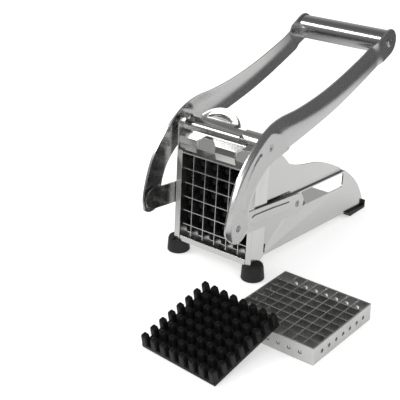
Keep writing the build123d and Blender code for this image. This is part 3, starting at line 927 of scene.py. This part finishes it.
def punchedFrame(look):
    half, high, over = look["side"] / 2, look["depth"] / 2, look["over"]
    band = boxShape("spare_cassette_frame_punched", (-half, -half, -high), (half, half, high))
    work = bmesh.new()
    work.from_mesh(band.data)
    corners = [edge for edge in work.edges if abs(edge.verts[0].co.z - edge.verts[1].co.z) > high]
    bmesh.ops.bevel(work, geom=corners, offset=look["corner"], segments=3, profile=0.5, affect="EDGES")
    work.to_mesh(band.data)
    work.free()
    inside = half - look["wall"]
    cutBy(band, boxShape("inside", (-inside, -inside, -high - over), (inside, inside, high + over)))
    cutBy(band, holeCutters(look))
    band.data.transform(spareComb["place"])
    finishPiece(band, "spare_cassette_frame")
    return band


for cassette in (punchedFrame(frameLook), bpy.data.objects["cassette_frame_refined"]):
    cassette.data.materials[0] = millSteel
print("spare frame punched")

# Fasteners and pivots, turned about their own z, which points out of the piece they hold

rivetHead = [  # flush peened head with the ring that the tool leaves
    (2.88, 0.0), (2.8, 0.22), (2.55, 0.36), (2.05, 0.36), (1.75, 0.08), (1.3, 0.08), (1.05, 0.3), (0.5, 0.38),
    (0.0, 0.4),
]
profiles = {
    "crankRivet": [
        (0.0, -4.5), (2.88, -4.5), (2.88, -2.8), (5.3, -2.8), (5.48, -2.6), (5.48, -1.7), (5.3, -1.52),
        (2.88, -1.52),
    ] + rivetHead,
    "rearRivet": [(0.0, -1.5), (2.88, -1.5)] + rivetHead,
    "axle": [
        (0.0, -95.0), (0.5, -95.0), (0.9, -95.3), (2.92, -95.3), (2.98, -95.2), (2.98, -0.1), (2.92, 0.0),
        (0.9, 0.0), (0.5, -0.3), (0.0, -0.3),
    ],
    "bush": [(3.05, -3.35), (4.4, -3.35), (4.6, -3.15), (4.6, -0.2), (4.4, 0.0), (3.05, 0.0)],
    "carriagePin": [
        (0.0, -7.3), (5.3, -7.3), (5.48, -7.1), (5.48, -6.6), (5.3, -6.42), (2.98, -6.42), (2.98, -0.4),
        (2.6, 0.0), (0.0, 0.0),
    ],
    "panHead": [
        (0.0, -5.8), (0.8, -5.8), (1.18, -5.3), (1.18, 0.02), (2.58, 0.02), (2.6, 0.6), (2.45, 1.15),
        (2.1, 1.55), (1.5, 1.76), (0.0, 1.8),
    ],
    "gripScrew": [
        (0.0, -9.2), (1.9, -9.2), (1.98, -9.0), (1.98, 0.02), (4.0, 0.02), (4.18, 0.25), (4.05, 0.75),
        (3.6, 1.2), (2.8, 1.55), (1.5, 1.76), (0.0, 1.8),
    ],
}
fastenerLook = {"sides": 32, "shade": 38}
screwEdge = {"width": 0.12, "segments": 2, "angle": 50}


def fastener(name, recesses=()):
    shape = turnedShape(name, profiles[name], fastenerLook["sides"], name == "bush")
    for low, high in recesses:
        cutBy(shape, boxShape("recess", low, high))
    return shape


def addFasteners(name, nodeName, shape, spots, edge=None):
    piece = atSpots(name, nodeName, shape, spots, machineTurn)
    shadeByAngle(piece, fastenerLook["shade"])
    if edge:
        addBevel(piece, edge)
    finishPiece(piece, nodeName)


def bothSides(x, place):  # the same spot on the right and on the left, facing outwards
    return [((side * x, place[0], place[1]), (side, 0, 0)) for side in (1, -1)]


crankRivet = fastener("crankRivet")
addFasteners("link_pivot_rivets_peened", "link_pivot_rivets", crankRivet, bothSides(armOut, crank))
right, left = bothSides(linkOut, pin)
addFasteners("rear_rivet_right_peened", "rear_rivet_right", fastener("rearRivet"), [right])
addFasteners("rear_rivet_left_peened", "rear_rivet_left", fastener("rearRivet"), [left])
axleEnd, bushEnd, pinEnd = 47.65, 45.9, 42.8  # outer ends, as x
addFasteners("pivot_axle_turned", "pivot_axle", fastener("axle"), bothSides(axleEnd, pivot)[:1])
addFasteners("pivot_bushes_turned", "pivot_bushes", fastener("bush"), bothSides(bushEnd, pivot))
addFasteners("carriage_pins_turned", "carriage_pins", fastener("carriagePin"), bothSides(pinEnd, pin))
crossRecess = [((-1.5, -0.28, 0.9), (1.5, 0.28, 2.5)), ((-0.28, -1.5, 0.9), (0.28, 1.5, 2.5))]
screwAcross, screwDepth, screwHeights = 19.5, 17.7, (34.5, 73.5)
backOfCarriage = [
    ((x, screwDepth, z), (0, 1, 0)) for x in (-screwAcross, screwAcross) for z in screwHeights
]
addFasteners("pusher_screws_pan", "pusher_screws", fastener("panHead", crossRecess), backOfCarriage)
slotRecess = [((-5.0, -0.6, 1.0), (5.0, 0.6, 3.0))]
gripScrew = fastener("gripScrew", slotRecess)
addFasteners("grip_screws_slotted", "grip_screws", gripScrew, bothSides(armOut, grip), screwEdge)
print("fasteners turned")

# Floor, light and backdrop, in metres

studio = {
    "softbox": {"way": (-0.58, -0.47, 0.67), "distance": 1.5, "size": (0.75, 0.34), "power": 5.5},
    "fill": {"way": (0.8, -0.5, 0.32), "distance": 1.5, "size": (0.5, 0.5), "power": 4.0},
    "aim": (0, 0, 0.06), "floorSize": 8.0, "floorColour": 0.92, "floorGlow": 0.42, "skyForShade": 0.72,
    "drop": {"floor": 0.0002, "skirt": 0.0001}, "sides": 64, "rings": 32,
    "room": {
        "radius": 3.0, "tableBack": (0.34, 0.5), "tableLeft": (0.06, 0.27), "veil": 0.25, "darkFloor": 0.14,
    },
    "paleWalls": [((-0.94, 0.34, 0.0), (0.0, 0.7)), ((0.75, -0.66, 0.0), (0.6, 0.9))],  # direction, soft edge
    # Grey at shares of the height
    "paleSide": [(0.0, 0.12), (0.1, 0.4), (0.35, 0.55), (0.5, 0.5), (0.72, 0.3), (0.9, 0.16)],
    "darkSide": [(0.0, 0.17), (0.3, 0.19), (0.5, 0.18), (0.75, 0.2), (1.0, 0.16)],
}


def addFloor():
    bpy.ops.mesh.primitive_plane_add(size=studio["floorSize"])
    floor = bpy.context.active_object
    floor.name = "floor"
    floor.location.z = -studio["drop"]["floor"]
    material, tree = newMaterial("whitePaperSweep")
    grey = studio["floorColour"]
    shader = addNode(tree, "ShaderNodeBsdfDiffuse", {"Color": (grey, grey, grey, 1.0)})
    glow = addNode(tree, "ShaderNodeEmission", {
        "Color": (1.0, 1.0, 1.0, 1.0), "Strength": studio["floorGlow"],
    })
    both = addNode(tree, "ShaderNodeAddShader", {0: shader.outputs[0], 1: glow.outputs[0]})
    addNode(tree, "ShaderNodeOutputMaterial", {"Surface": both.outputs[0]})
    floor.data.materials.append(material)


def addLamp(name, look):
    data = bpy.data.lights.new(name, "AREA")
    data.shape = "RECTANGLE"
    data.size, data.size_y = look["size"]
    data.energy = look["power"]
    lamp = bpy.data.objects.new(name, data)
    way = Vector(look["way"]).normalized()
    lamp.location = way * look["distance"] + Vector(studio["aim"])
    lamp.rotation_euler = way.to_track_quat("Z", "Y").to_euler()
    lamp.visible_camera = False
    bpy.context.scene.collection.objects.link(lamp)


def greyByHeight(tree, height, stops):  # how pale the walls are from the floor up
    ramp = addNode(tree, "ShaderNodeValToRGB", {0: height})
    while len(ramp.color_ramp.elements) < len(stops):
        ramp.color_ramp.elements.new(0.5)
    for element, (position, level) in zip(ramp.color_ramp.elements, stops):
        element.position = position
        element.color = (level, level, level, 1.0)
    return ramp.outputs[0]


def onlyInReflections(card):  # seen by polished metal, and neither by the camera nor as light
    for kind in ("camera", "diffuse", "transmission", "volume_scatter", "shadow"):
        setattr(card, "visible_" + kind, False)


def addRoom():  # what the metal mirrors: dark walls that turn pale in two directions
    look = studio["room"]
    bpy.ops.mesh.primitive_uv_sphere_add(
        segments=studio["sides"], ring_count=studio["rings"], radius=look["radius"],
    )
    room = bpy.context.active_object
    room.name = "darkRoom"
    material, tree = newMaterial("paintedRoomWalls")
    place = addNode(tree, "ShaderNodeTexCoord").outputs["Object"]
    way = addNode(tree, "ShaderNodeVectorMath", {
        0: place, "Scale": 1 / look["radius"],
    }, operation="SCALE").outputs[0]
    height = addNode(tree, "ShaderNodeSeparateXYZ", {0: way}).outputs["Z"]
    lobes = []
    for middle, reach in studio["paleWalls"]:
        toPale = addNode(tree, "ShaderNodeVectorMath", {0: way, 1: middle}, operation="DOT_PRODUCT")
        lobes.append(addNode(tree, "ShaderNodeMapRange", {
            "Value": toPale.outputs["Value"], "From Min": reach[0], "From Max": reach[1],
        }, interpolation_type="SMOOTHSTEP").outputs[0])
    share = addNode(tree, "ShaderNodeMath", {0: lobes[0], 1: lobes[1]}, operation="MAXIMUM")
    wall = addNode(tree, "ShaderNodeMix", {
        0: share.outputs[0],
        6: greyByHeight(tree, height, studio["darkSide"]),
        7: greyByHeight(tree, height, studio["paleSide"]),
    }, data_type="RGBA")
    paint = addNode(tree, "ShaderNodeEmission", {"Color": wall.outputs[2]})
    addNode(tree, "ShaderNodeOutputMaterial", {"Surface": paint.outputs[0]})
    room.data.materials.append(material)
    onlyInReflections(room)


def addSkirt():  # what the metal mirrors below: dark cloth round a white table
    look = studio["room"]
    bpy.ops.mesh.primitive_circle_add(vertices=studio["sides"], radius=look["radius"], fill_type="NGON")
    skirt = bpy.context.active_object
    skirt.name = "darkFloorRoundTable"
    skirt.location.z = -studio["drop"]["skirt"]
    material, tree = newMaterial("blackClothRoundTable")
    place = addNode(tree, "ShaderNodeTexCoord").outputs["Object"]
    along = addNode(tree, "ShaderNodeSeparateXYZ", {0: place}).outputs
    toLeft = addNode(tree, "ShaderNodeMath", {0: along["X"], 1: -1.0}, operation="MULTIPLY")
    edges = [
        addNode(tree, "ShaderNodeMapRange", {
            "Value": value, "From Min": edge[0], "From Max": edge[1], "To Min": look["veil"],
        }, interpolation_type="SMOOTHSTEP").outputs[0]
        for value, edge in ((along["Y"], look["tableBack"]), (toLeft.outputs[0], look["tableLeft"]))
    ]
    share = addNode(tree, "ShaderNodeMath", {0: edges[0], 1: edges[1]}, operation="MAXIMUM")
    level = look["darkFloor"]
    cloth = addNode(tree, "ShaderNodeEmission", {"Color": (level, level, level, 1.0)})
    clear = addNode(tree, "ShaderNodeBsdfTransparent")
    both = addNode(tree, "ShaderNodeMixShader", {
        0: share.outputs[0], 1: clear.outputs[0], 2: cloth.outputs[0],
    })
    addNode(tree, "ShaderNodeOutputMaterial", {"Surface": both.outputs[0]})
    skirt.data.materials.append(material)
    onlyInReflections(skirt)


def addWorld():  # white where it is seen directly or mirrored, and softer where it only lights
    world = bpy.data.worlds.new("studio")
    bpy.context.scene.world = world
    world.use_nodes = True
    tree = world.node_tree
    tree.nodes.clear()
    level = studio["skyForShade"]
    soft = addNode(tree, "ShaderNodeBackground", {"Color": (level, level, level, 1.0), "Strength": 1.0})
    white = addNode(tree, "ShaderNodeBackground", {"Color": (1.0, 1.0, 1.0, 1.0), "Strength": 1.0})
    path = addNode(tree, "ShaderNodeLightPath").outputs
    direct = addNode(tree, "ShaderNodeMath", {
        0: path["Is Camera Ray"], 1: path["Is Glossy Ray"],
    }, operation="MAXIMUM")
    seen = addNode(tree, "ShaderNodeMath", {
        0: direct.outputs[0], 1: path["Is Transmission Ray"],
    }, operation="MAXIMUM")
    mixed = addNode(tree, "ShaderNodeMixShader", {
        0: seen.outputs[0], 1: soft.outputs[0], 2: white.outputs[0],
    })
    addNode(tree, "ShaderNodeOutputWorld", {"Surface": mixed.outputs[0]})


addFloor()
addRoom()
addSkirt()
addWorld()
addLamp("softbox", studio["softbox"])
addLamp("fill", studio["fill"])
bpy.context.scene.view_settings.view_transform = "Standard"
print("studio set")
